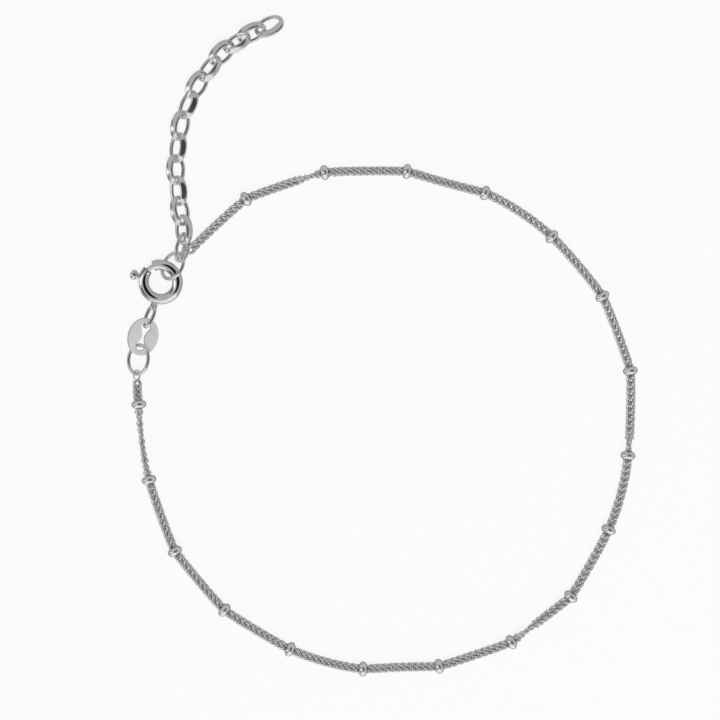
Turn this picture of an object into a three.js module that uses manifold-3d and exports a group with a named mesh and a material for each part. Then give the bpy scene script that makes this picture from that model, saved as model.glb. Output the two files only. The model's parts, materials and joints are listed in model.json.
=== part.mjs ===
// A fine silver anklet (payal) that lies fastened on a flat surface: a curb chain with small
// turned beads, an oval tag, a bolt ring clasp and a length of oval links to fasten it in.
// Units are millimetres, +Z is up, and everything rests on the plane z = 0.
import * as THREE from 'three';
import { mergeVertices } from 'three/addons/utils/BufferGeometryUtils.js';
import Module from 'manifold-3d';

const wasm = await Module();
wasm.setup();

// Gaps between pieces that hang in each other or slide on each other
const LINK_GAP = 0.1;
const BEAD_GAP = 0.2;
const BOLT_GAP = 0.095;
const CATCH_GAP = 0.3;

// Curb chain, modelled as one round run of its full width
const CHAIN_WIDTH = 1.15;
const CHAIN_SIDES = 8;
const STEPS_PER_STRETCH = 4;
const CHAIN_SAG = 0.05;

// Beads threaded on the chain
const BEAD_DIAMETER = 2.15;
const BEAD_RIM_RADIUS = 0.55;
const BEAD_SIDES = 14;
const BEAD_RIM_STEPS = 6;

// Rings and links bent from wire
const RING_STEPS = 16;
const WIRE_SIDES = 6;

// Bolt ring clasp
const CLASP_X = -31.86;
const CLASP_Y = 9.3;
const CLASP_DIAMETER = 6.5;
const CLASP_TUBE = 1.5;
const CLASP_STEPS = 36;
const CLASP_SIDES = 10;
const MOUTH_FROM = 112;
const MOUTH_TO = 138;
const BOLT_DIAMETER = 0.65;
const BOLT_TIP = 104;
const BOLT_TAIL = 172;
const BOLT_SIDES = 8;
const SOCKET_END = 95;
const LEVER_AT = 165;
const LEVER_WIDTH = 0.5;
const LEVER_HEIGHT = 0.6;
const TRIGGER_TRAVEL = 33;
const KNOB_DIAMETER = 1.4;
const KNOB_LENGTH = 1.15;
const KNOB_NECK = 0.12;
const EYE_AT = 253;
const EYE_RADIUS = 0.55;
const EYE_WIRE = 0.34;
const EYE_SEAT = 0.2;

// Catch ring that the clasp closes through
const CATCH_LENGTH = 4.55;
const CATCH_WIDTH = 4.4;
const CATCH_WIRE = 0.5;
const CATCH_HEADING = 60;
const CATCH_AT = 54;
const CATCH_SLIP = 0.55;
const CATCH_SHIFT = 0.15;

// Small link between the clasp and the tag
const CLASP_LINK_LENGTH = 3.8;
const CLASP_LINK_WIDTH = 2.4;
const CLASP_LINK_WIRE = 0.45;
const CLASP_LINK_HEADING = 249.7;
const CLASP_LINK_ROLL = 34;
const CLASP_LINK_RISE = 8;

// Oval tag with a waisted slot
const TAG_LENGTH = 5.55;
const TAG_WIDTH = 4.5;
const TAG_THICKNESS = 0.3;
const TAG_RIM = 0.75;
const TAG_SLOT_WIDTH = 1.45;
const TAG_WAIST = 0.4;
const TAG_HEADING = 253.4;
const TAG_ROLL = 22;
const TAG_SLIP = 0.25;
const TAG_CURVE_STEPS = 10;

// Oval ring between the tag and the chain
const END_LENGTH = 4.7;
const END_WIDTH = 3.85;
const END_WIRE = 0.5;
const END_HEADING = 263;
const END_ROLL = 27;
const END_SLIP = 0.4;

// Small link that closes each end of the chain
const TIP_LENGTH = 1.85;
const TIP_WIDTH = 1.45;
const TIP_WIRE = 0.26;
const TIP_GAP = 0.15;
const TIP_RING_ANGLE = 27;
const TIP_CATCH_HEADING = 41;
const TIP_CATCH_DROP = 20;
const TIP_END_HEADING = 273;
const TIP_END_DROP = 20;
const TIP_END_ROLL = 55;

// Links of the extender
const LINK_LENGTH = 4.5;
const LINK_WIDTH = 2.9;
const LINK_WIRE = 0.58;
const LINK_DEPTH = 0.46;
const FIRST_LINK_SLIP = 0.35;

// Each extender link from the clasp outward: its heading, how far it is pushed in from its
// taut place, and how far its left side is lifted; a minus lifts its right side
const EXTENDER = [
  [76, 0.75, 61], [94.5, 0.55, -36], [100, 0.4, 36], [96.5, 0.23, -36], [91, 0.05, 37],
  [84, 0.04, -37], [77.5, 0, 38], [67, 0, -38], [58.5, 0.17, 36], [53, 0.33, -36],
  [44, 0.45, 36], [32, 0.66, -36], [26, 0.75, 42], [26, 0.3, -22],
];

// Where each bead lies on the surface, from the catch ring round to the tag, and how far the
// chain bows outward on its way there
const BEADS = [
  [-19.48, 21.33, 0.2], [-8.09, 25.17, 0.19], [3.84, 25.32, 0.17], [15.16, 22.2, -0.06],
  [24.84, 15.87, 0.5], [32.17, 7.23, 0.26], [36.22, -3.57, 0.23], [35.87, -15.84, 0.25],
  [33.07, -26.58, 0.5], [27.59, -36.29, 0.22], [18.96, -42.88, 0.12], [8.49, -46.39, 0.16],
  [-2.52, -46.78, 0], [-13.09, -43.91, 0.48], [-22.61, -38.23, 0.22], [-29.78, -29.72, 0.19],
  [-33.54, -19.36, 0.2], [-35, -8.43, 0.33],
];
const LAST_BOW = 0.1;

const SILVER = { color: 0xc9cacc, metalness: 1 };
const BRIGHT = new THREE.MeshStandardMaterial({ ...SILVER, roughness: 0.18 });
const SATIN = new THREE.MeshStandardMaterial({ ...SILVER, roughness: 0.42 });

const UP = new THREE.Vector3(0, 0, 1);

function radians(degrees) {
  return THREE.MathUtils.degToRad(degrees);
}

// A direction on the surface, tipped up by rise
function heading(degrees, rise = 0) {
  const flat = Math.cos(radians(rise));
  return new THREE.Vector3(
    Math.cos(radians(degrees)) * flat,
    Math.sin(radians(degrees)) * flat,
    Math.sin(radians(rise)),
  );
}

// The direction to the left of a heading, with the left side lifted by roll
function leftOf(degrees, roll) {
  return heading(degrees + 90, roll);
}

function along(point, direction, distance) {
  return point.clone().addScaledVector(direction, distance);
}

// Closed geometry with shared corners and its faces pointing out
function closed(geometry) {
  const bare = geometry.index ? geometry.toNonIndexed() : geometry.clone();
  bare.deleteAttribute('normal');
  bare.deleteAttribute('uv');
  const merged = mergeVertices(bare, 1e-4);
  const position = merged.attributes.position;
  const index = Array.from(merged.index.array);
  const kept = [];
  let volume = 0;
  const a = new THREE.Vector3();
  const b = new THREE.Vector3();
  const c = new THREE.Vector3();
  for (let i = 0; i < index.length; i += 3) {
    const [p, q, r] = index.slice(i, i + 3);
    if (p !== q && q !== r && r !== p) {
      a.fromBufferAttribute(position, p);
      b.fromBufferAttribute(position, q);
      c.fromBufferAttribute(position, r);
      volume += a.dot(b.cross(c));
      kept.push(p, q, r);
    }
  }
  if (volume < 0) {
    kept.reverse();
  }
  merged.setIndex(kept);
  return merged;
}

function toSolid(geometry) {
  const mesh = closed(geometry);
  return new wasm.Manifold(new wasm.Mesh({
    numProp: 3,
    vertProperties: new Float32Array(mesh.attributes.position.array),
    triVerts: new Uint32Array(mesh.index.array),
  }));
}

function toGeometry(solid) {
  const mesh = solid.getMesh();
  const geometry = new THREE.BufferGeometry();
  geometry.setAttribute('position', new THREE.BufferAttribute(mesh.vertProperties, 3));
  geometry.setIndex(new THREE.BufferAttribute(mesh.triVerts, 1));
  return geometry;
}

// Names a piece and places it: its own x runs along and its own y toward side
function piece(name, geometry, material, centre, direction, side) {
  const x = direction.clone().normalize();
  const z = x.clone().cross(side).normalize();
  const y = z.clone().cross(x);
  const mesh = new THREE.Mesh(geometry, material);
  mesh.name = name;
  mesh.position.copy(centre);
  mesh.quaternion.setFromRotationMatrix(new THREE.Matrix4().makeBasis(x, y, z));
  return mesh;
}

// Oval ring of wire with a flat top and a flat underside; its long side lies along x
function ovalRing(length, width, wire, depth) {
  const geometry = new THREE.TorusGeometry(1, 0.5, WIRE_SIDES, RING_STEPS);
  const position = geometry.attributes.position;
  const long = (length - wire) / 2;
  const short = (width - wire) / 2;
  const flat = 0.5 * Math.sin(Math.PI / 3);
  for (let i = 0; i < position.count; i += 1) {
    const reach = Math.hypot(position.getX(i), position.getY(i));
    const cos = position.getX(i) / reach;
    const sin = position.getY(i) / reach;
    const out = ((reach - 1) / 0.5) * (wire / 2);
    const slant = Math.hypot(short * cos, long * sin);
    position.setXYZ(
      i,
      long * cos + (out * short * cos) / slant,
      short * sin + (out * long * sin) / slant,
      (position.getZ(i) / flat) * (depth / 2),
    );
  }
  return closed(geometry);
}

// Height at which the middle of a rolled ring lies when its low side touches the surface
function restHeight(width, wire, depth, roll) {
  const lean = radians(Math.abs(roll));
  const edge = Math.max(
    (wire / 2) * Math.sin(lean),
    (wire / 4) * Math.sin(lean) + (depth / 2) * Math.cos(lean),
  );
  return ((width - wire) / 2) * Math.sin(lean) + edge;
}

// Turned bead with a rounded rim, its axis along x
function beadGeometry() {
  const radius = BEAD_DIAMETER / 2;
  const middle = radius - BEAD_RIM_RADIUS;
  const hole = CHAIN_WIDTH / 2 + BEAD_GAP;
  const reach = Math.acos((hole - middle) / BEAD_RIM_RADIUS);
  const profile = [];
  for (let i = 0; i <= BEAD_RIM_STEPS; i += 1) {
    const angle = -reach + (2 * reach * i) / BEAD_RIM_STEPS;
    profile.push(new THREE.Vector2(
      middle + BEAD_RIM_RADIUS * Math.cos(angle),
      BEAD_RIM_RADIUS * Math.sin(angle),
    ));
  }
  profile.push(profile[0].clone());
  const geometry = new THREE.LatheGeometry(profile, BEAD_SIDES);
  geometry.rotateZ(-Math.PI / 2);
  return closed(geometry);
}

// Wedge of angle, as a tool to cut rings with
function wedge(from, to, inner, outer, height) {
  const shape = new THREE.Shape();
  const steps = Math.max(1, Math.ceil((to - from) / 10));
  for (let i = 0; i <= steps; i += 1) {
    const angle = radians(from + ((to - from) * i) / steps);
    const x = outer * Math.cos(angle);
    const y = outer * Math.sin(angle);
    if (i === 0) {
      shape.moveTo(x, y);
    } else {
      shape.lineTo(x, y);
    }
  }
  for (let i = steps; i >= 0; i -= 1) {
    const angle = radians(from + ((to - from) * i) / steps);
    shape.lineTo(inner * Math.cos(angle), inner * Math.sin(angle));
  }
  const geometry = new THREE.ExtrudeGeometry(shape, { depth: height, bevelEnabled: false });
  geometry.translate(0, 0, -height / 2);
  return toSolid(geometry);
}

function ringSolid(tube, sides) {
  const radius = (CLASP_DIAMETER - CLASP_TUBE) / 2;
  const geometry = new THREE.TorusGeometry(radius, tube / 2, sides, CLASP_STEPS);
  return toSolid(geometry);
}

// Hollow ring of the clasp with its mouth, the lever's slot and the eye soldered to it
function claspBody(eyeAxis) {
  const radius = (CLASP_DIAMETER - CLASP_TUBE) / 2;
  const outer = CLASP_DIAMETER;
  const leverHalf = THREE.MathUtils.radToDeg(Math.atan(LEVER_WIDTH / 2 / radius));
  const clear = THREE.MathUtils.radToDeg(BOLT_GAP / radius);
  const travel = BOLT_TAIL + TRIGGER_TRAVEL + 3 * clear;
  const channel = ringSolid(BOLT_DIAMETER + 2 * BOLT_GAP, BOLT_SIDES)
    .intersect(wedge(SOCKET_END, travel, radius / 2, outer, CLASP_TUBE));
  const mouth = wedge(MOUTH_FROM, MOUTH_TO, radius / 4, outer, 2 * CLASP_TUBE);
  const slot = wedge(
    LEVER_AT - leverHalf - clear,
    LEVER_AT + TRIGGER_TRAVEL + leverHalf + clear,
    radius,
    outer,
    LEVER_HEIGHT + 2 * BOLT_GAP,
  );
  const eye = new THREE.TorusGeometry(EYE_RADIUS, EYE_WIRE / 2, 6, RING_STEPS);
  eye.applyQuaternion(new THREE.Quaternion().setFromUnitVectors(UP, eyeAxis));
  const seat = heading(EYE_AT).multiplyScalar(eyeReach());
  eye.translate(seat.x, seat.y, seat.z);
  return toGeometry(ringSolid(CLASP_TUBE, CLASP_SIDES)
    .subtract(mouth)
    .subtract(channel)
    .subtract(slot)
    .add(toSolid(eye)));
}

function eyeReach() {
  return CLASP_DIAMETER / 2 + EYE_RADIUS - EYE_SEAT;
}

// Curved bolt with its lever and thumb knob
function claspTrigger() {
  const radius = (CLASP_DIAMETER - CLASP_TUBE) / 2;
  const bolt = ringSolid(BOLT_DIAMETER, BOLT_SIDES)
    .intersect(wedge(BOLT_TIP, BOLT_TAIL, radius / 2, CLASP_DIAMETER, CLASP_TUBE));
  const neckEnd = CLASP_DIAMETER / 2 + KNOB_NECK;
  const lever = new THREE.BoxGeometry(neckEnd + 0.1 - radius, LEVER_WIDTH, LEVER_HEIGHT);
  lever.translate((neckEnd + 0.1 + radius) / 2, 0, 0);
  lever.rotateZ(radians(LEVER_AT));
  const profile = [new THREE.Vector2(0, 0)];
  for (let i = 1; i < 6; i += 1) {
    const angle = (Math.PI * i) / 6;
    profile.push(new THREE.Vector2(
      (KNOB_DIAMETER / 2) * Math.sin(angle) ** 0.7,
      (KNOB_LENGTH / 2) * (1 - Math.cos(angle)),
    ));
  }
  profile.push(new THREE.Vector2(0, KNOB_LENGTH));
  const knob = new THREE.LatheGeometry(profile, 12);
  knob.rotateZ(-Math.PI / 2);
  knob.translate(neckEnd, 0, 0);
  knob.rotateZ(radians(LEVER_AT));
  return toGeometry(bolt.add(toSolid(lever)).add(toSolid(knob)));
}

// Oval plate with a slot that is wide at both ends and narrow in the middle
function tagGeometry() {
  const shape = new THREE.Shape();
  shape.absellipse(0, 0, TAG_LENGTH / 2, TAG_WIDTH / 2, 0, 2 * Math.PI);
  const end = TAG_SLOT_WIDTH / 2;
  const reach = TAG_LENGTH / 2 - TAG_RIM - end;
  const slot = new THREE.Path();
  slot.moveTo(reach, end);
  slot.quadraticCurveTo(reach * 0.45, TAG_WAIST / 2, 0, TAG_WAIST / 2);
  slot.quadraticCurveTo(-reach * 0.45, TAG_WAIST / 2, -reach, end);
  slot.absarc(-reach, 0, end, Math.PI / 2, (3 * Math.PI) / 2, false);
  slot.quadraticCurveTo(-reach * 0.45, -TAG_WAIST / 2, 0, -TAG_WAIST / 2);
  slot.quadraticCurveTo(reach * 0.45, -TAG_WAIST / 2, reach, -end);
  slot.absarc(reach, 0, end, -Math.PI / 2, Math.PI / 2, false);
  shape.holes.push(slot);
  const geometry = new THREE.ExtrudeGeometry(shape, {
    depth: TAG_THICKNESS,
    bevelEnabled: false,
    curveSegments: TAG_CURVE_STEPS,
  });
  geometry.translate(0, 0, -TAG_THICKNESS / 2);
  return closed(geometry);
}

// Curve whose steps fall on its points
class StepCurve extends THREE.CatmullRomCurve3 {
  getPointAt(u, target) {
    return this.getPoint(u, target);
  }

  getTangentAt(u, target) {
    return this.getTangent(u, target);
  }
}

// Runs the chain from its first end over every bead to its last end
function chainCurve(start, end) {
  const stops = [start];
  const bows = [0];
  BEADS.forEach(([x, y, bow]) => {
    stops.push(new THREE.Vector3(x, y, BEAD_DIAMETER / 2));
    bows.push(bow);
  });
  stops.push(end);
  bows.push(LAST_BOW);
  const points = [start];
  for (let i = 1; i < stops.length; i += 1) {
    const from = stops[i - 1];
    const to = stops[i];
    const left = to.clone().sub(from).setZ(0).normalize().cross(UP).negate();
    const drop = Math.min((from.z + to.z - CHAIN_WIDTH) / 2, from.distanceTo(to) * CHAIN_SAG);
    for (let step = 1; step <= STEPS_PER_STRETCH; step += 1) {
      const t = step / STEPS_PER_STRETCH;
      const point = from.clone().lerp(to, t).addScaledVector(left, bows[i] * 4 * t * (1 - t));
      point.z -= drop * Math.sin(Math.PI * t) ** 2;
      points.push(point);
    }
  }
  return new StepCurve(points, false, 'catmullrom');
}

function chainGeometry(curve) {
  const shape = new THREE.Shape();
  for (let i = 0; i < CHAIN_SIDES; i += 1) {
    const angle = (2 * Math.PI * (i + 0.5)) / CHAIN_SIDES;
    const x = (CHAIN_WIDTH / 2) * Math.cos(angle);
    const y = (CHAIN_WIDTH / 2) * Math.sin(angle);
    if (i === 0) {
      shape.moveTo(x, y);
    } else {
      shape.lineTo(x, y);
    }
  }
  return closed(new THREE.ExtrudeGeometry(shape, {
    steps: curve.points.length - 1,
    extrudePath: curve,
    bevelEnabled: false,
  }));
}

const anklet = new THREE.Group();

// The catch ring passes under the clasp's tube on one side and over it on the other
const catchLift = CLASP_TUBE / 2 + CATCH_WIRE / 2 + CATCH_GAP;
const catchLean = Math.asin(catchLift / ((CATCH_WIDTH - CATCH_WIRE) / 2));
const catchRoll = THREE.MathUtils.radToDeg(catchLean);
const catchHeight = restHeight(CATCH_WIDTH, CATCH_WIRE, CATCH_WIRE, catchRoll);

// The clasp leans on the catch ring's low side and touches the surface opposite it
const claspRadius = (CLASP_DIAMETER - CLASP_TUBE) / 2;
const claspTilt = Math.asin((catchHeight - CLASP_TUBE / 2) / (2 * claspRadius));
const claspTurn = new THREE.Quaternion().setFromAxisAngle(heading(CATCH_AT + 90), -claspTilt);
const claspCentre = new THREE.Vector3(CLASP_X, CLASP_Y, (catchHeight + CLASP_TUBE / 2) / 2);

function onClasp(degrees, reach) {
  return heading(degrees).applyQuaternion(claspTurn).multiplyScalar(reach).add(claspCentre);
}

// Clasp link, hung in the clasp's eye
const eyeCentre = onClasp(EYE_AT, eyeReach());
const linkWay = heading(CLASP_LINK_HEADING, CLASP_LINK_RISE);
const linkSide = leftOf(CLASP_LINK_HEADING, CLASP_LINK_ROLL);
const linkCentre = along(eyeCentre, linkWay, (CLASP_LINK_LENGTH - CLASP_LINK_WIRE) / 2);
const eyeAxis = linkWay.clone().cross(linkSide).cross(linkWay).normalize()
  .applyQuaternion(claspTurn.clone().invert());

const body = new THREE.Mesh(claspBody(eyeAxis), BRIGHT);
body.name = 'bolt_ring_body';
const trigger = new THREE.Mesh(claspTrigger(), BRIGHT);
trigger.name = 'bolt_ring_trigger';
const clasp = new THREE.Group();
clasp.position.copy(claspCentre);
clasp.quaternion.copy(claspTurn);
clasp.add(body, trigger);
anklet.add(clasp);

anklet.add(piece(
  'clasp_link',
  ovalRing(CLASP_LINK_LENGTH, CLASP_LINK_WIDTH, CLASP_LINK_WIRE, CLASP_LINK_WIRE),
  BRIGHT,
  linkCentre,
  linkWay,
  linkSide,
));

// Catch ring round the clasp's tube
const catchWay = heading(CATCH_HEADING);
const catchSide = leftOf(CATCH_HEADING, -catchRoll);
const catchReach = CATCH_LENGTH / 2 - CATCH_WIRE - CLASP_TUBE / 2 - CATCH_SLIP;
const catchCentre = along(onClasp(CATCH_AT, claspRadius), catchWay, catchReach)
  .addScaledVector(heading(CATCH_HEADING - 90), CATCH_SHIFT)
  .setZ(catchHeight);
anklet.add(piece(
  'catch_ring',
  ovalRing(CATCH_LENGTH, CATCH_WIDTH, CATCH_WIRE, CATCH_WIRE),
  BRIGHT,
  catchCentre,
  catchWay,
  catchSide,
));

// Tag, hung on the clasp link by the rim at one end of its slot
const tagWay = heading(TAG_HEADING);
const tagHeight = (TAG_WIDTH / 2) * Math.sin(radians(TAG_ROLL))
  + (TAG_THICKNESS / 2) * Math.cos(radians(TAG_ROLL));
const tagHang = CLASP_LINK_LENGTH / 2 - CLASP_LINK_WIRE - LINK_GAP - TAG_SLIP;
const slotHalf = TAG_LENGTH / 2 - TAG_RIM;
const tagCentre = along(along(linkCentre, linkWay, tagHang), tagWay, slotHalf).setZ(tagHeight);
anklet.add(piece('tag', tagGeometry(), SATIN, tagCentre, tagWay, leftOf(TAG_HEADING, -TAG_ROLL)));

// End ring, hung in the other end of the slot
const endWay = heading(END_HEADING);
const endHang = slotHalf - LINK_GAP - END_SLIP;
const endCentre = along(
  along(tagCentre, tagWay, endHang),
  endWay,
  END_LENGTH / 2 - END_WIRE,
).setZ(restHeight(END_WIDTH, END_WIRE, END_WIRE, END_ROLL));
anklet.add(piece(
  'end_ring',
  ovalRing(END_LENGTH, END_WIDTH, END_WIRE, END_WIRE),
  BRIGHT,
  endCentre,
  endWay,
  leftOf(END_HEADING, END_ROLL),
));

// Places a chain-end link on a ring's wire and returns where the chain starts beyond it
function chainTip(name, wirePoint, ringWire, way, side) {
  const centre = along(wirePoint, way, TIP_LENGTH / 2 - TIP_WIRE - ringWire / 2 - TIP_GAP);
  const geometry = ovalRing(TIP_LENGTH, TIP_WIDTH, TIP_WIRE, TIP_WIRE);
  anklet.add(piece(name, geometry, BRIGHT, centre, way, side));
  return along(centre, way, TIP_LENGTH / 2 + LINK_GAP);
}

const catchAngle = radians(TIP_RING_ANGLE);
const catchLong = (CATCH_LENGTH - CATCH_WIRE) / 2;
const catchShort = (CATCH_WIDTH - CATCH_WIRE) / 2;
const catchPoint = along(
  along(catchCentre, catchWay, catchLong * Math.cos(catchAngle)),
  catchSide,
  -catchShort * Math.sin(catchAngle),
);
const catchTangent = catchWay.clone().multiplyScalar(-catchLong * Math.sin(catchAngle))
  .addScaledVector(catchSide, -catchShort * Math.cos(catchAngle));
const catchTipWay = heading(TIP_CATCH_HEADING, -TIP_CATCH_DROP);
const chainStart = chainTip(
  'chain_end_link_01',
  catchPoint,
  CATCH_WIRE,
  catchTipWay,
  catchTipWay.clone().cross(catchTangent),
);
const endTipWay = heading(TIP_END_HEADING, -TIP_END_DROP);
const chainEnd = chainTip(
  'chain_end_link_02',
  along(endCentre, endWay, (END_LENGTH - END_WIRE) / 2),
  END_WIRE,
  endTipWay,
  leftOf(TIP_END_HEADING, -TIP_END_ROLL),
);

const curve = chainCurve(chainStart, chainEnd);
const chain = new THREE.Mesh(chainGeometry(curve), BRIGHT);
chain.name = 'curb_chain';
anklet.add(chain);

const beadShape = beadGeometry();
BEADS.forEach((spot, index) => {
  const step = (index + 1) * STEPS_PER_STRETCH;
  const tangent = curve.getTangentAt(step / (curve.points.length - 1)).setZ(0);
  anklet.add(piece(
    `satellite_bead_${String(index + 1).padStart(2, '0')}`,
    beadShape,
    BRIGHT,
    curve.points[step],
    tangent,
    tangent.clone().cross(UP),
  ));
});

// Extender: the first link hangs on the catch ring and each next one in the link before it
const linkShape = ovalRing(LINK_LENGTH, LINK_WIDTH, LINK_WIRE, LINK_DEPTH);
const taut = LINK_LENGTH - 2 * LINK_WIRE - LINK_GAP;
const firstWay = heading(EXTENDER[0][0]);
const firstHang = LINK_LENGTH / 2 - LINK_WIRE - CATCH_WIRE / 2 - LINK_GAP - FIRST_LINK_SLIP;
const firstCentre = along(along(catchCentre, catchWay, catchLong), firstWay, firstHang);
let joint = along(firstCentre, firstWay, -(taut - EXTENDER[0][1]) / 2);
const links = EXTENDER.map(([degrees, slip, roll]) => {
  const reach = taut - slip;
  const centre = along(joint, heading(degrees), reach / 2)
    .setZ(restHeight(LINK_WIDTH, LINK_WIRE, LINK_DEPTH, roll));
  joint = along(joint, heading(degrees), reach);
  return { centre, degrees, roll };
});
links.forEach(({ centre, degrees, roll }, index) => {
  const before = links[Math.max(index - 1, 0)].centre;
  const after = links[Math.min(index + 1, links.length - 1)].centre;
  const flatRun = Math.hypot(after.x - before.x, after.y - before.y);
  const last = index === links.length - 1;
  const rise = last ? 0 : THREE.MathUtils.radToDeg(Math.atan2(after.z - before.z, flatRun));
  anklet.add(piece(
    `extender_link_${String(index + 1).padStart(2, '0')}`,
    linkShape,
    SATIN,
    centre,
    heading(degrees, rise),
    leftOf(degrees, roll),
  ));
});

export default anklet;
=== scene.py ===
"""Dresses the silver anklet: curb links on its chain, turned beads, a bolt ring and links."""

import json
import math

import bmesh
import bpy
import numpy as np
from mathutils import Matrix, Vector


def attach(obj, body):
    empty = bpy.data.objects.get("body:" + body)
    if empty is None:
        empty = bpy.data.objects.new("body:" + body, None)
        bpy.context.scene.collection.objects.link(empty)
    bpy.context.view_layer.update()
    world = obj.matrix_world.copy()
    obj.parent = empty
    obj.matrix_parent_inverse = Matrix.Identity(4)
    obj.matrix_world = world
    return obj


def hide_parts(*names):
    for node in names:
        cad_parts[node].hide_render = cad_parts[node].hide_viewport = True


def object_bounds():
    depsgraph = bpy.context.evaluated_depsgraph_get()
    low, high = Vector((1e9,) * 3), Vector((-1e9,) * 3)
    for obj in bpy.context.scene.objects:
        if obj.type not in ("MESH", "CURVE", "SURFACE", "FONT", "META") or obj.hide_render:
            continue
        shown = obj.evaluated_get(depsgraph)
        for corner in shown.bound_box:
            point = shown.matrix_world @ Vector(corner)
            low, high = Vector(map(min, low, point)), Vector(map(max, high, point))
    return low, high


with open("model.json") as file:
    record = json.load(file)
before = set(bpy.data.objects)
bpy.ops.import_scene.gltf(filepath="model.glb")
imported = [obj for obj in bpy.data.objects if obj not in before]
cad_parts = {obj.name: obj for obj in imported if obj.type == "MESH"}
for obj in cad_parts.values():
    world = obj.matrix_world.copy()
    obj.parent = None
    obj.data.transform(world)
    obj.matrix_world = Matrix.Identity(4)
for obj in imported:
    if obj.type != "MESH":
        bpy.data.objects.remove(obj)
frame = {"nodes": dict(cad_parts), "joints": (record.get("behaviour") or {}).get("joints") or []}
cad_low, cad_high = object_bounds()

MM = 0.001
TURN = 2 * math.pi
QUARTER = math.pi / 2
ALONG_Z = Vector((0, 0, 1))
SAME_SPOT = 1e-7

# Curb chain
LINK_LENGTH = 1.85 * MM
LINK_WIDTH = 1.42 * MM
LINK_WIRE = 0.45 * MM
LINK_BROAD = 0.52 * MM
LINK_PITCH = 0.945 * MM
LINK_STEPS = 14
LINK_SIDES = 6
LINK_TWIST = math.radians(52)
LINK_SLANT = math.radians(28)
LINK_LEAN = math.radians(8)
LINK_SWAY = math.radians(7)
SWAY_STEP = 2.1
CHAIN_SAG = 0.05
CHAIN_LOW = 0.67 * MM

# Painted shade on a link, darkest near the chain's middle line, where each link's ends pass
# through the next: how far out from that line the shade ends, how far in it is full, and how
# much a reach to the side counts for beside one up or down
LINK_SHADE_ENDS = 0.45 * MM
LINK_SHADE_FULL = 0.1 * MM
LINK_SHADE_SIDEWAYS = 0.6

# The steps that a stretch is measured in, how far either side of a link its heading is taken
# (as a share of the stretch), and the room left over, in pitches, that takes one more link
ROUTE_STEPS = 60
HEADING_REACH = 0.02
LINK_LEFTOVER = 0.4

# The chain solid's end face lies this near the middle of its end link, and is this deep
TIP_REACH = 2.2 * MM
TIP_DEPTH = 0.45 * MM

# How far each stretch of chain bows outward, in mm, from the catch ring round to the end ring
BOWS = [0.2, 0.19, 0.17, -0.06, 0.5, 0.26, 0.23, 0.25, 0.5, 0.22, 0.12, 0.16, 0,
        0.48, 0.22, 0.19, 0.2, 0.33, 0.1]

# Where the chain lies rolled over: places along it, in stretches, and how far, in degrees
CHAIN_ROLLS = [(0, 0), (1.55, 0), (1.8, 80), (2.0, 170), (6.5, 180), (7.75, 190), (8.0, 350),
               (10.4, 360), (10.75, 450), (11.0, 535), (16.9, 540), (17.15, 612), (17.8, 636),
               (18.1, 720), (19, 720)]

# Extender links, with how far each one's broad face leans out from level, in degrees
OVAL_COUNT = 14
OVAL_LENGTH = 4.5 * MM
OVAL_WIDTH = 2.9 * MM
OVAL_WIRE = 0.58 * MM
OVAL_DEPTH = 0.46 * MM
OVAL_SPREAD = 0.21 * MM
OVAL_STEPS = 64
OVAL_SIDES = 20
OVAL_LEANS = [-10, 32, 17, 17, 17, 17, 17, 17, 17, 30, 17, 28, 17, -22]

# The one link that is broad on its low side
LOW_SIDED = 1
LOW_SPREAD = 0.26 * MM

# Where to the side the flat begins, how soon it is full, how square the wire's section is,
# and how much squarer the flat's
FLAT_FROM = 0.1
FLAT_OVER = 0.7
WIRE_SQUARE = 2.2
FLAT_SQUARE = 2.6

# Rings of round wire: length, width and wire, in mm
RING_STEPS = 56
RING_SIDES = 16
CATCH_SIZE = (4.55, 4.4, 0.5)
END_SIZE = (4.7, 3.85, 0.5)
EYE_LINK_SIZE = (3.8, 2.05, 0.52)
EYE_LINK_ROLL = 11
TIP_SIZE = (1.85, 1.45, 0.26)

# Beads
BEAD_COUNT = 18
BEAD_RADIUS = 1.075 * MM
BEAD_RIM = 0.55 * MM
BEAD_HOLE = 0.62 * MM
BEAD_RIM_STEPS = 18
BEAD_STEPS = 36
BEAD_CREASE = 50

# Bolt ring: sizes, and places round it in degrees
CLASP_RADIUS = 2.5 * MM
CLASP_TUBE = 0.75 * MM
CLASP_STEPS = 120
CLASP_SIDES = 32
CLASP_CREASE = 38
CHANNEL = 0.42 * MM
CHANNEL_SPAN = (95, 213)
BORE_SIDES = 20
MOUTH = (112, 138)
MOUTH_INNER = 0.4 * MM
BOLT = 0.325 * MM
BOLT_SPAN = (104, 172)
BOLT_CREASE = 42
LEVER_AT = 165
LEVER_WIDTH = 0.5 * MM
LEVER_HEIGHT = 0.58 * MM
LEVER_ROUND = 0.05 * MM
LEVER_SEAT = 0.1 * MM
LEVER_SLOT_SPAN = (157.5, 205.5)
LEVER_SLOT_ROOM = 0.2 * MM
EYE_AT = 253
EYE_REACH = 3.6 * MM
EYE_RADIUS = 0.55 * MM
EYE_WIRE = 0.17 * MM
EYE_STEPS = 40
EYE_SIDES = 12
ARC_STEP = 4
LEAST_ARC_STEPS = 4

# Thumb knob: how far it stands off the ring, and its profile in mm, as out and along
KNOB_STAND = 0.12 * MM
KNOB_STEPS = 32
KNOB_PROFILE = [(0, 0), (0.42, 0), (0.42, 0.2), (0.54, 0.26), (0.66, 0.4), (0.7, 0.58),
                (0.69, 0.74), (0.6, 0.94), (0.44, 1.07), (0.2, 1.14), (0, 1.15)]

# Tag and its slot, which is wide at both ends and narrow in the middle
TAG_HALF_LENGTH = 2.775 * MM
TAG_HALF_WIDTH = 2.25 * MM
TAG_THICKNESS = 0.3 * MM
TAG_STEPS = 96
TAG_ROUND = 0.05 * MM
TAG_EDGE = 60
TAG_CREASE = 30
TAG_FACE_UP = 0.99
SLOT_HALF_LENGTH = 2.025 * MM
SLOT_END = 0.725 * MM
SLOT_WAIST = 0.2 * MM
SLOT_CURVE = 1.9
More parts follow.
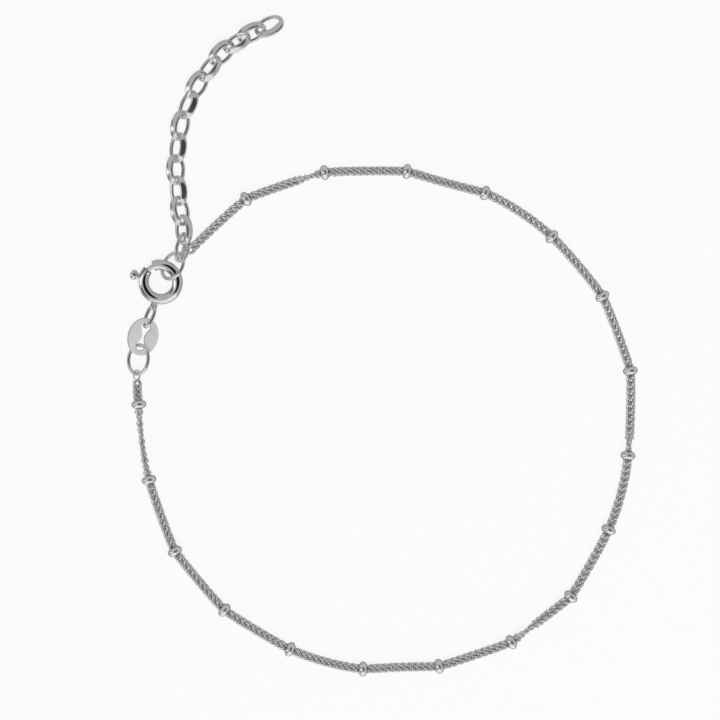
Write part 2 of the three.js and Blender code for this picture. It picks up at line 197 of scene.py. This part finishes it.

# Silver: the size of its worn clouds and fine scratches, and the grey of the shade painted on
# the chain
WEAR_SCALE = 700
WEAR_DETAIL = 4
WEAR_FROM = 0.3
WEAR_TO = 0.62
GLOSS_BEST = 0.75
GLOSS_WORST = 1.3
SCRATCH_SCALE = 5200
SCRATCH_DETAIL = 2
SCRATCH_DEPTH = 0.02 * MM
PAINTED_SHADE_GREY = (0.54, 0.54, 0.55)

# The colour sockets of a Mix node
MIX_FIRST = 6
MIX_SECOND = 7
MIX_RESULT = 2

# Studio: the general level, the level straight below with the heights where it is full and
# where it ends, and soft panels and dark gaps as (x, y, half width, half depth, softness,
# level, how far down they reach) on a dome seen from above
STUDIO_LEVEL = 0.44
STUDIO_BELOW = 0.16
BELOW_FULL = -0.78
BELOW_ENDS = -0.42
STUDIO_PANELS = [
    (0.05, -1.0, 0.8, 0.42, 0.2, 0.85, -1.0),
    (-0.85, -0.52, 0.24, 0.2, 0.3, 0.05, 0.0),
    (-0.92, 0.3, 0.24, 0.2, 0.35, 0.12, 0.0),
    (-0.84, -0.1, 0.24, 0.15, 0.3, 1.2, 0.0),
    (0.28, 0.03, 0.52, 0.6, 0.15, 0.01, 0.0),
]

# How softly a panel's foot ends, and the distance that counts as well outside a panel
PANEL_FOOT = 0.1
PANEL_BEYOND = 4.0

# Lamp, surface and camera
LAMP_SIZE = 0.6
LAMP_POWER = 3.2
LAMP_AT = (0.1, -0.15, 0.7)
SURFACE_HALF = 2.0
SURFACE_GREY = 0.15
SURFACE_GLOW = 0.84
SURFACE_ROUGH = 0.9
CAMERA_LENS = 100
CAMERA_SENSOR = 36
VIEW_WIDTH = 104.35 * MM
VIEW_MIDDLE = (-2.957 * MM, -2.0 * MM)
VIEW_HEIGHT = MM


# ---- finding places on the frame


def corners(node):
    """Returns the corner points of a CAD node."""
    mesh = frame["nodes"][node].data
    points = np.empty(len(mesh.vertices) * 3)
    mesh.vertices.foreach_get("co", points)
    return points.reshape(-1, 3)


def place_of(node):
    """Returns a node's middle and its directions from longest to shortest."""
    points = corners(node)
    middle = points.mean(axis=0)
    spread, directions = np.linalg.eigh(np.cov((points - middle).T))
    long, mid, short = (Vector(directions[:, i]) for i in np.argsort(-spread))
    return Vector(middle), long, mid, short


def placing(middle, x, y):
    """Returns the matrix that puts a shape's own x and y along two directions."""
    x = x.normalized()
    z = x.cross(y).normalized()
    y = z.cross(x)
    turn = Matrix((x, y, z)).transposed().to_4x4()
    return Matrix.Translation(middle) @ turn


# ---- making shapes


def moved(bm, matrix):
    """Carries all that the mesh holds."""
    bmesh.ops.transform(bm, matrix=matrix, verts=bm.verts)


def standing(out):
    """Returns the matrix that stands a flat shape on edge, so far out along x."""
    return Matrix.Translation((out, 0, 0)) @ Matrix.Rotation(QUARTER, 4, "X")


def turned(bm, axis, steps):
    """Spins what the mesh holds all the way round an axis through the middle."""
    bmesh.ops.spin(
        bm, geom=bm.verts[:] + bm.edges[:], cent=(0, 0, 0), axis=axis, angle=TURN,
        steps=steps, use_merge=True,
    )
    bmesh.ops.remove_doubles(bm, verts=bm.verts, dist=SAME_SPOT)


def swept(bm, span):
    """Spins what the mesh holds through an arc about z, given by two angles in degrees."""
    start, end = (math.radians(angle) for angle in span)
    steps = max(LEAST_ARC_STEPS, round(math.degrees(end - start) / ARC_STEP))
    bmesh.ops.rotate(bm, verts=bm.verts, matrix=Matrix.Rotation(start, 3, "Z"))
    bmesh.ops.spin(
        bm, geom=bm.verts[:] + bm.edges[:] + bm.faces[:], cent=(0, 0, 0), axis=(0, 0, 1),
        angle=end - start, steps=steps,
    )


def wire_oval(length, width, around, across, section):
    """Returns wire bent to an oval whose long side lies along x, given its middle line's size.

    The section function turns a unit circle's out and up into the wire's own, for a place on
    the oval that is given by how far to the side it lies, from -1 to 1.
    """
    bm = bmesh.new()
    stand_off = 3
    bmesh.ops.create_circle(bm, segments=across, radius=1.0, matrix=standing(stand_off))
    turned(bm, (0, 0, 1), around)
    long, short = length / 2, width / 2
    for corner in bm.verts:
        reach = math.hypot(corner.co.x, corner.co.y)
        cos, sin = corner.co.x / reach, corner.co.y / reach
        out, up = section(reach - stand_off, corner.co.z, sin)
        slant = math.hypot(short * cos, long * sin)
        corner.co = (
            long * cos + out * short * cos / slant,
            short * sin + out * long * sin / slant,
            up,
        )
    return bm


def round_wire(wire):
    """Returns the section of plain round wire."""
    return lambda out, up, side: (out * wire / 2, up * wire / 2)


def flattened_wire(turned_back, spread):
    """Returns the section of a link that was rolled flat while it lay tilted.

    One side is pressed broad, and its face is turned back from the link's own tilt.
    """
    def section(out, up, side):
        share = min(1, max(0, (abs(side) - FLAT_FROM) / FLAT_OVER))
        share = share * share * (3 - 2 * share)
        pressed = share if side > 0 else 0
        square = WIRE_SQUARE + FLAT_SQUARE * pressed
        full = (abs(out) ** square + abs(up) ** square) ** (-1 / square)
        half = OVAL_WIRE / 2 + pressed * spread
        out, up = out * full * half, up * full * OVAL_DEPTH / 2
        cos, sin = math.cos(pressed * turned_back), math.sin(pressed * turned_back)
        return out * cos + up * sin, up * cos - out * sin

    return section


def ring_tube(radius, tube, steps, sides):
    """Returns a round ring of round tube about z."""
    bm = bmesh.new()
    bmesh.ops.create_circle(bm, segments=sides, radius=tube, matrix=standing(radius))
    turned(bm, (0, 0, 1), steps)
    return bm


def arc_tube(radius, tube, span):
    """Returns a closed length of round tube that follows an arc about z."""
    bm = bmesh.new()
    bmesh.ops.create_circle(
        bm, cap_ends=True, segments=BORE_SIDES, radius=tube, matrix=standing(radius),
    )
    swept(bm, span)
    return bm


def sector(inner, outer, height, span):
    """Returns a slab between two radii that follows an arc about z."""
    bm = bmesh.new()
    bmesh.ops.create_grid(bm, x_segments=1, y_segments=1, size=0.5, matrix=Matrix.Identity(4))
    bmesh.ops.scale(bm, vec=(outer - inner, height, 1), verts=bm.verts)
    moved(bm, standing((inner + outer) / 2))
    swept(bm, span)
    return bm


def smooth_mesh(name, bm, sharp=None):
    """Turns a shape into a mesh with smooth shading; edges past the sharp angle stay crisp."""
    bmesh.ops.recalc_face_normals(bm, faces=bm.faces)
    for face in bm.faces:
        face.smooth = True
    if sharp:
        for edge in bm.edges:
            if len(edge.link_faces) == 2 and edge.calc_face_angle(0) > math.radians(sharp):
                edge.smooth = False
    mesh = bpy.data.meshes.new(name)
    bm.to_mesh(mesh)
    bm.free()
    return mesh


def add_piece(name, mesh, finish, nodes, body="anklet"):
    """Adds a finished piece in place of its CAD nodes."""
    mesh.materials.append(finish)
    piece = bpy.data.objects.new(name, mesh)
    bpy.context.collection.objects.link(piece)
    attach(piece, body)
    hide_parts(*nodes)


# ---- cutting and joining


def loose(name, bm):
    """Returns a shape as an object of its own, to cut or join with."""
    bmesh.ops.recalc_face_normals(bm, faces=bm.faces)
    mesh = bpy.data.meshes.new(name)
    bm.to_mesh(mesh)
    bm.free()
    shape = bpy.data.objects.new(name, mesh)
    bpy.context.collection.objects.link(shape)
    return shape


def combine(shape, tool, operation):
    """Cuts a shape with a tool, or joins the tool to it, and drops the tool."""
    change = shape.modifiers.new("combine", "BOOLEAN")
    change.operation = operation
    change.solver = "EXACT"
    change.object = tool
    view = bpy.context.evaluated_depsgraph_get()
    mesh = bpy.data.meshes.new_from_object(shape.evaluated_get(view))
    shape.modifiers.clear()
    shape.data = mesh
    bpy.data.objects.remove(tool)


def taken(shape):
    """Returns an object's mesh as a shape again and drops the object."""
    bm = bmesh.new()
    bm.from_mesh(shape.data)
    bpy.data.objects.remove(shape)
    return bm


# ---- finishes


def silver(name, colour, roughness, grain, tarnish_and_shade, metal=1.0):
    """Returns silver with fine wear in its gloss and a little tarnish in its colour.

    A piece's own attribute of painted shade darkens its colour toward a grey where it is set.
    """
    finish = bpy.data.materials.new(name)
    finish.use_nodes = True
    nodes, links = finish.node_tree.nodes, finish.node_tree.links
    surface = nodes["Principled BSDF"]
    surface.inputs["Metallic"].default_value = metal
    where = nodes.new("ShaderNodeTexCoord")

    wear = nodes.new("ShaderNodeTexNoise")
    wear.inputs["Scale"].default_value = WEAR_SCALE
    wear.inputs["Detail"].default_value = WEAR_DETAIL
    links.new(where.outputs["Object"], wear.inputs["Vector"])
    tint = nodes.new("ShaderNodeValToRGB")
    dull, clean = tint.color_ramp.elements
    dull.position = WEAR_FROM
    dull.color = (*(c * (1 - tarnish_and_shade) for c in colour), 1)
    clean.position = WEAR_TO
    clean.color = (*colour, 1)
    links.new(wear.outputs["Fac"], tint.inputs["Fac"])

    # Painted shade: the piece's attribute darkens the colour toward a grey where the links pass
    # through each other
    shade_mask = nodes.new("ShaderNodeAttribute")
    shade_mask.attribute_name = "tarnish_and_shade"
    darkened = nodes.new("ShaderNodeMix")
    darkened.data_type = "RGBA"
    links.new(shade_mask.outputs["Fac"], darkened.inputs["Factor"])
    links.new(tint.outputs["Color"], darkened.inputs[MIX_FIRST])
    darkened.inputs[MIX_SECOND].default_value = (*PAINTED_SHADE_GREY, 1)
    links.new(darkened.outputs[MIX_RESULT], surface.inputs["Base Color"])

    gloss = nodes.new("ShaderNodeMapRange")
    gloss.inputs["To Min"].default_value = roughness * GLOSS_BEST
    gloss.inputs["To Max"].default_value = roughness * GLOSS_WORST
    links.new(wear.outputs["Fac"], gloss.inputs["Value"])
    links.new(gloss.outputs["Result"], surface.inputs["Roughness"])

    scratch = nodes.new("ShaderNodeTexNoise")
    scratch.inputs["Scale"].default_value = SCRATCH_SCALE
    scratch.inputs["Detail"].default_value = SCRATCH_DETAIL
    links.new(where.outputs["Object"], scratch.inputs["Vector"])
    relief = nodes.new("ShaderNodeBump")
    relief.inputs["Strength"].default_value = grain
    relief.inputs["Distance"].default_value = SCRATCH_DEPTH
    links.new(scratch.outputs["Fac"], relief.inputs["Height"])
    links.new(relief.outputs["Normal"], surface.inputs["Normal"])
    return finish


CHAIN_SILVER = silver("chain_silver", (0.93, 0.935, 0.94), 0.12, 0.06, 0.06, metal=0.82)
BEAD_SILVER = silver("bead_silver", (0.93, 0.935, 0.94), 0.12, 0.06, 0.05, metal=0.85)
BRIGHT_SILVER = silver("bright_silver", (0.9, 0.905, 0.915), 0.06, 0.04, 0.05)
SATIN_SILVER = silver("satin_silver", (0.9, 0.905, 0.915), 0.16, 0.12, 0.08, metal=0.95)
TAG_SILVER = silver("frosted_silver", (0.93, 0.93, 0.935), 0.42, 0.5, 0.05, metal=0.4)


# ---- curb chain


def chain_route():
    """Returns the chain's stops: its first end, every bead and its last end."""
    stops = [place_of(f"satellite_bead_{n:02d}")[0] for n in range(1, BEAD_COUNT + 1)]
    ends = []
    points = corners("curb_chain")
    for link in ("chain_end_link_01", "chain_end_link_02"):
        away = np.linalg.norm(points - np.array(place_of(link)[0]), axis=1)
        near, reach = points[away < TIP_REACH], away[away < TIP_REACH]
        ends.append(Vector(near[reach < reach.min() + TIP_DEPTH].mean(axis=0)))
    return [ends[0], *stops, ends[1]]


def along_stretch(start, end, bow, t):
    """Returns a point on one stretch of chain, which bows outward and sags to the surface."""
    flat = Vector((end.x - start.x, end.y - start.y, 0)).normalized()
    left = Vector((-flat.y, flat.x, 0))
    drop = min((start.z + end.z) / 2 - CHAIN_LOW, (end - start).length * CHAIN_SAG)
    point = start.lerp(end, t) + left * (bow * MM * 4 * t * (1 - t))
    point.z -= drop * math.sin(math.pi * t) ** 2
    return point


def roll_at(place):
    """Returns how far the chain is rolled over at a place along it, counted in stretches."""
    places, rolls = zip(*CHAIN_ROLLS)
    return math.radians(float(np.interp(place, places, rolls)))


def link_places(stretch, start, end):
    """Yields where each link of one stretch lies, evenly spaced along it."""
    bow = BOWS[stretch]
    shares = [i / ROUTE_STEPS for i in range(ROUTE_STEPS + 1)]
    samples = [along_stretch(start, end, bow, share) for share in shares]
    lengths = [0.0]
    for a, b in zip(samples, samples[1:]):
        lengths.append(lengths[-1] + (b - a).length)
    count = math.ceil(lengths[-1] / LINK_PITCH - LINK_LEFTOVER)
    for n in range(count):
        t = float(np.interp((n + 0.5) * lengths[-1] / count, lengths, shares))
        middle = along_stretch(start, end, bow, t)
        ahead = along_stretch(start, end, bow, min(1, t + HEADING_REACH))
        behind = along_stretch(start, end, bow, max(0, t - HEADING_REACH))
        way = (ahead - behind).normalized()
        lean = LINK_LEAN + LINK_SWAY * math.sin(SWAY_STEP * n + stretch)
        side = Matrix.Rotation(roll_at(stretch + t) + lean, 3, way) @ ALONG_Z.cross(way)
        yield placing(middle, way, side)


def curb_link():
    """Returns one oval link twisted from end to end, as a curb chain's are.

    Its sides are pressed broader than its ends, and each lies aslant across the chain.
    """
    def section(out, up, side):
        broad = LINK_WIRE + (LINK_BROAD - LINK_WIRE) * side ** 2
        return out * broad / 2, up * LINK_WIRE / 2

    length, width = LINK_LENGTH - LINK_WIRE, LINK_WIDTH - LINK_BROAD
    bm = wire_oval(length, width, LINK_STEPS, LINK_SIDES, section)
    for corner in bm.verts:
        share = max(-1, min(1, corner.co.x / (LINK_LENGTH / 2)))
        twist = LINK_TWIST * math.sin(share * QUARTER)
        corner.co = Matrix.Rotation(twist, 3, "X") @ corner.co
        slant = LINK_SLANT * corner.co.z / (LINK_WIDTH / 2)
        corner.co = Matrix.Rotation(slant, 3, "Z") @ corner.co
    return bm


def painted_shade_depth(spot):
    """Returns how deep a spot on a link lies in its painted shade, near the chain's middle line,
    from 0 to 1.
    """
    reach = math.hypot(LINK_SHADE_SIDEWAYS * spot.y, spot.z)
    return max(0, min(1, (LINK_SHADE_ENDS - reach) / (LINK_SHADE_ENDS - LINK_SHADE_FULL)))


def curb_chain():
    """Lays the twisted links one after another along the route."""
    stops = chain_route()
    link = smooth_mesh("curb_link", curb_link())
    bm = bmesh.new()
    for stretch, (start, end) in enumerate(zip(stops, stops[1:])):
        for place in link_places(stretch, start, end):
            before = len(bm.verts)
            bm.from_mesh(link)
            bm.verts.ensure_lookup_table()
            bmesh.ops.transform(bm, matrix=place, verts=bm.verts[before:])
    # Shade painted near each link's ends, where they pass through the next links, kept as an
    # attribute
    tarnish_and_shade = [painted_shade_depth(corner.co) for corner in link.vertices]
    bpy.data.meshes.remove(link)
    mesh = smooth_mesh("curb_chain_links", bm)
    shade_layer = mesh.attributes.new("tarnish_and_shade", "FLOAT", "POINT")
    shade_layer.data.foreach_set("value", tarnish_and_shade * (len(mesh.vertices) // len(tarnish_and_shade)))
    add_piece("curb_chain_links", mesh, CHAIN_SILVER, ["curb_chain"])


# ---- beads


def bead(number):
    """Turns one bead with a round rim and a softened hole, in place of its CAD node."""
    node = f"satellite_bead_{number:02d}"
    middle, _, _, axis = place_of(node)
    bm = bmesh.new()
    centre = BEAD_RADIUS - BEAD_RIM
    reach = math.acos((BEAD_HOLE - centre) / BEAD_RIM)
    profile = []
    for i in range(BEAD_RIM_STEPS + 1):
        angle = -reach + 2 * reach * i / BEAD_RIM_STEPS
        x, out = BEAD_RIM * math.sin(angle), centre + BEAD_RIM * math.cos(angle)
        profile.append(bm.verts.new((x, 0, out)))
    for a, b in zip(profile, profile[1:] + profile[:1]):
        bm.edges.new((a, b))
    turned(bm, (1, 0, 0), BEAD_STEPS)
    moved(bm, placing(middle, axis, axis.cross(ALONG_Z)))
    mesh = smooth_mesh(node, bm, BEAD_CREASE)
    add_piece(f"turned_bead_{number:02d}", mesh, BEAD_SILVER, [node])


# ---- rings and links


def ring(name, node, size, finish, roll=0):
    """Bends one ring of round wire where its CAD node lies."""
    length, width, wire = size
    middle, long, mid, _ = place_of(node)
    mid = mid if mid.z > 0 else -mid
    long = long if long.cross(mid).z > 0 else -long
    mid = Matrix.Rotation(math.radians(roll), 3, long) @ mid
    length, width = (length - wire) * MM, (width - wire) * MM
    bm = wire_oval(length, width, RING_STEPS, RING_SIDES, round_wire(wire * MM))
    moved(bm, placing(middle, long, mid))
    add_piece(name, smooth_mesh(name, bm), finish, [node])


def oval_link(number):
    """Bends one flattened link of the extender, with one side broad."""
    name, node = f"oval_link_{number:02d}", f"extender_link_{number:02d}"
    middle, long, mid, _ = place_of(node)
    mid = mid if (mid.z > 0) == (number != LOW_SIDED) else -mid
    long = long if long.cross(mid).z > 0 else -long
    lean = math.radians(OVAL_LEANS[number - 1])
    spread = LOW_SPREAD if number == LOW_SIDED else OVAL_SPREAD
    section = flattened_wire(math.asin(mid.z) + lean, spread)
    length, width = OVAL_LENGTH - OVAL_WIRE, OVAL_WIDTH - OVAL_WIRE
    bm = wire_oval(length, width, OVAL_STEPS, OVAL_SIDES, section)
    moved(bm, placing(middle, long, mid))
    add_piece(name, smooth_mesh(name, bm), SATIN_SILVER, [node])


# ---- bolt ring


def clasp_place():
    """Returns the matrix that carries the clasp's own flat frame to where it lies."""
    joint = next(j for j in frame["joints"] if j["name"] == "trigger_turn")
    turn = ALONG_Z.rotation_difference(Vector(joint["axis"]))
    return Matrix.Translation(joint["pos_m"]) @ turn.to_matrix().to_4x4()


def clasp_eye():
    """Returns the small soldered ring, square to the link that it holds."""
    to_clasp = clasp_place().inverted()
    link_side = place_of("clasp_link")[2]
    axis = (to_clasp.to_3x3() @ link_side).normalized()
    turn = ALONG_Z.rotation_difference(axis).to_matrix().to_4x4()
    at = math.radians(EYE_AT)
    seat = Matrix.Translation((EYE_REACH * math.cos(at), EYE_REACH * math.sin(at), 0))
    bm = ring_tube(EYE_RADIUS, EYE_WIRE, EYE_STEPS, EYE_SIDES)
    moved(bm, seat @ turn)
    return bm


def clasp_body():
    """Makes the hollow ring with its mouth, bolt channel, lever slot and soldered eye."""
    far = 2 * (CLASP_RADIUS + CLASP_TUBE)
    ring_shape = ring_tube(CLASP_RADIUS, CLASP_TUBE, CLASP_STEPS, CLASP_SIDES)
    mouth = sector(MOUTH_INNER, far, 4 * CLASP_TUBE, MOUTH)
    channel = arc_tube(CLASP_RADIUS, CHANNEL, CHANNEL_SPAN)
    lever_slot = sector(CLASP_RADIUS, far, LEVER_HEIGHT + LEVER_SLOT_ROOM, LEVER_SLOT_SPAN)
    shape = loose("clasp_tube", ring_shape)
    combine(shape, loose("mouth", mouth), "DIFFERENCE")
    combine(shape, loose("channel", channel), "DIFFERENCE")
    combine(shape, loose("lever_slot", lever_slot), "DIFFERENCE")
    combine(shape, loose("eye", clasp_eye()), "UNION")
    bm = taken(shape)
    moved(bm, clasp_place())
    mesh = smooth_mesh("bolt_ring", bm, CLASP_CREASE)
    add_piece("bolt_ring", mesh, BRIGHT_SILVER, ["bolt_ring_body"])


def bolt_lever(reach):
    """Returns the bar that carries the knob out from the bolt, with softened edges."""
    bm = bmesh.new()
    bmesh.ops.create_cube(bm, size=1)
    bmesh.ops.scale(bm, vec=(reach, LEVER_WIDTH, LEVER_HEIGHT), verts=bm.verts)
    bmesh.ops.bevel(
        bm, geom=bm.edges[:], offset=LEVER_ROUND, offset_type="OFFSET", affect="EDGES",
        segments=2, profile=0.5, material=-1,
    )
    bmesh.ops.translate(bm, vec=(CLASP_RADIUS + reach / 2, 0, 0), verts=bm.verts)
    return bm


def thumb_knob(out):
    """Returns the turned knob, which stands so far out along x."""
    bm = bmesh.new()
    spots = [bm.verts.new((x * MM, 0, r * MM)) for r, x in KNOB_PROFILE]
    for a, b in zip(spots, spots[1:]):
        bm.edges.new((a, b))
    turned(bm, (1, 0, 0), KNOB_STEPS)
    bmesh.ops.translate(bm, vec=(out, 0, 0), verts=bm.verts)
    return bm


def trigger():
    """Makes the curved bolt with its lever and the turned thumb knob."""
    shape = loose("bolt", arc_tube(CLASP_RADIUS, BOLT, BOLT_SPAN))
    outer = CLASP_RADIUS + CLASP_TUBE + KNOB_STAND
    for part in (bolt_lever(outer + LEVER_SEAT - CLASP_RADIUS), thumb_knob(outer)):
        moved(part, Matrix.Rotation(math.radians(LEVER_AT), 4, "Z"))
        combine(shape, loose("part", part), "UNION")
    bm = taken(shape)
    moved(bm, clasp_place())
    mesh = smooth_mesh("bolt_and_knob", bm, BOLT_CREASE)
    add_piece("bolt_and_knob", mesh, BRIGHT_SILVER, ["bolt_ring_trigger"],
              body="trigger")


# ---- tag


def slot_half_width(x):
    """Returns half the slot's width at a place along the tag, wide at both ends."""
    reach = SLOT_HALF_LENGTH - SLOT_END
    if abs(x) > reach:
        return math.sqrt(max(0, SLOT_END ** 2 - (abs(x) - reach) ** 2))
    return SLOT_WAIST + (SLOT_END - SLOT_WAIST) * (abs(x) / reach) ** SLOT_CURVE


def tag():
    """Cuts the oval plate with its waisted slot and softens every edge."""
    middle, long, mid, _ = place_of("tag")
    bm = bmesh.new()
    rim = bmesh.ops.create_circle(bm, segments=TAG_STEPS, radius=1)["verts"]
    slot = bmesh.ops.create_circle(bm, segments=TAG_STEPS, radius=1)["verts"]
    for corner in rim:
        corner.co = (corner.co.x * TAG_HALF_LENGTH, corner.co.y * TAG_HALF_WIDTH, 0)
    for corner in slot:
        x, side = SLOT_HALF_LENGTH * corner.co.x, math.copysign(1, corner.co.y)
        corner.co = (x, side * slot_half_width(x), 0)
    bmesh.ops.bridge_loops(bm, edges=bm.edges[:])
    bmesh.ops.translate(bm, vec=(0, 0, -TAG_THICKNESS / 2), verts=bm.verts)
    raised = bmesh.ops.extrude_face_region(bm, geom=bm.faces[:], use_keep_orig=True)
    top = [item for item in raised["geom"] if isinstance(item, bmesh.types.BMVert)]
    bmesh.ops.translate(bm, vec=(0, 0, TAG_THICKNESS), verts=top)
    bmesh.ops.recalc_face_normals(bm, faces=bm.faces)
    edges = [edge for edge in bm.edges if edge.calc_face_angle(0) > math.radians(TAG_EDGE)]
    bmesh.ops.bevel(
        bm, geom=edges, offset=TAG_ROUND, offset_type="OFFSET", affect="EDGES", segments=3,
        profile=0.5, material=-1,
    )
    for face in bm.faces:
        face.material_index = 0 if abs(face.normal.z) > TAG_FACE_UP else 1
    moved(bm, placing(middle, long, mid))
    mesh = smooth_mesh("tag_plate", bm, TAG_CREASE)
    add_piece("tag_plate", mesh, TAG_SILVER, ["tag"])
    mesh.materials.append(BRIGHT_SILVER)


# ---- the photograph's view


def studio():
    """Surrounds the anklet with the soft panels and dark gaps that its silver mirrors."""
    world = bpy.data.worlds.new("studio")
    bpy.context.scene.world = world
    world.use_nodes = True
    nodes, links = world.node_tree.nodes, world.node_tree.links
    where = nodes.new("ShaderNodeTexCoord")
    split = nodes.new("ShaderNodeSeparateXYZ")
    links.new(where.outputs["Generated"], split.inputs["Vector"])

    def connect(source, socket):
        if isinstance(source, (int, float)):
            socket.default_value = source
        else:
            links.new(source, socket)

    def work_out(operation, *sources):
        made = nodes.new("ShaderNodeMath")
        made.operation = operation
        for source, socket in zip(sources, made.inputs):
            connect(source, socket)
        return made.outputs[0]

    def ease(value, low, high, at_low, at_high):
        made = nodes.new("ShaderNodeMapRange")
        made.interpolation_type = "SMOOTHSTEP"
        for source, socket in zip((value, low, high, at_low, at_high), made.inputs):
            connect(source, socket)
        return made.outputs["Result"]

    def squared_distance(value, centre, reach):
        away = work_out("MULTIPLY", work_out("SUBTRACT", value, centre), 1 / reach)
        return work_out("POWER", away, 2.0)

    x, y, z = (split.outputs[key] for key in "XYZ")
    level = STUDIO_LEVEL
    for centre_x, centre_y, reach_x, reach_y, soft, bright, lowest in STUDIO_PANELS:
        away_x = squared_distance(x, centre_x, reach_x)
        away_y = squared_distance(y, centre_y, reach_y)
        below = ease(z, lowest - PANEL_FOOT, lowest + PANEL_FOOT, PANEL_BEYOND, 0.0)
        away = work_out("ADD", work_out("ADD", away_x, away_y), below)
        level = ease(away, 1 - soft, 1 + soft, bright, level)
    level = ease(z, BELOW_FULL, BELOW_ENDS, STUDIO_BELOW, level)
    links.new(level, nodes["Background"].inputs["Strength"])
    nodes["Background"].inputs["Color"].default_value = (1, 1, 1, 1)


def soft_lamp():
    """Hangs a broad soft lamp over the table that lights matt surfaces but isn't mirrored."""
    data = bpy.data.lights.new("soft_lamp", "AREA")
    data.size = LAMP_SIZE
    data.energy = LAMP_POWER
    lamp = bpy.data.objects.new("soft_lamp", data)
    bpy.context.collection.objects.link(lamp)
    lamp.location = LAMP_AT
    lamp.rotation_euler = (-lamp.location).to_track_quat("-Z", "Y").to_euler()
    lamp.visible_glossy = False


def floor():
    """Lays the plain pale surface that the anklet rests on, which its silver doesn't mirror."""
    bm = bmesh.new()
    bmesh.ops.create_grid(bm, x_segments=1, y_segments=1, size=SURFACE_HALF)
    bmesh.ops.translate(bm, vec=(0, 0, cad_low.z), verts=bm.verts)
    mesh = bpy.data.meshes.new("floor")
    bm.to_mesh(mesh)
    bm.free()
    paper = bpy.data.materials.new("pale_surface")
    paper.use_nodes = True
    surface = paper.node_tree.nodes["Principled BSDF"]
    surface.inputs["Base Color"].default_value = (SURFACE_GREY, SURFACE_GREY, SURFACE_GREY, 1)
    surface.inputs["Roughness"].default_value = SURFACE_ROUGH
    surface.inputs["Specular IOR Level"].default_value = 0.0
    surface.inputs["Emission Color"].default_value = (1, 1, 1, 1)
    surface.inputs["Emission Strength"].default_value = SURFACE_GLOW
    mesh.materials.append(paper)
    plane = bpy.data.objects.new("floor", mesh)
    bpy.context.collection.objects.link(plane)
    plane.visible_glossy = False


def camera():
    """Looks straight down, framed as the photograph is."""
    data = bpy.data.cameras.new("camera")
    data.lens = CAMERA_LENS
    data.sensor_width = CAMERA_SENSOR
    view = bpy.data.objects.new("camera", data)
    bpy.context.collection.objects.link(view)
    height = VIEW_WIDTH * data.lens / data.sensor_width + VIEW_HEIGHT
    view.location = (*VIEW_MIDDLE, height)
    bpy.context.scene.camera = view


curb_chain()
for number in range(1, BEAD_COUNT + 1):
    bead(number)
ring("catch_link", "catch_ring", CATCH_SIZE, BRIGHT_SILVER)
ring("end_link", "end_ring", END_SIZE, BRIGHT_SILVER)
ring("eye_link", "clasp_link", EYE_LINK_SIZE, BRIGHT_SILVER, EYE_LINK_ROLL)
for number in (1, 2):
    ring(f"tip_link_{number:02d}", f"chain_end_link_{number:02d}", TIP_SIZE, CHAIN_SILVER)
for number in range(1, OVAL_COUNT + 1):
    oval_link(number)
clasp_body()
trigger()
tag()
studio()
soft_lamp()
floor()
camera()
bpy.context.scene.view_settings.view_transform = "Standard"
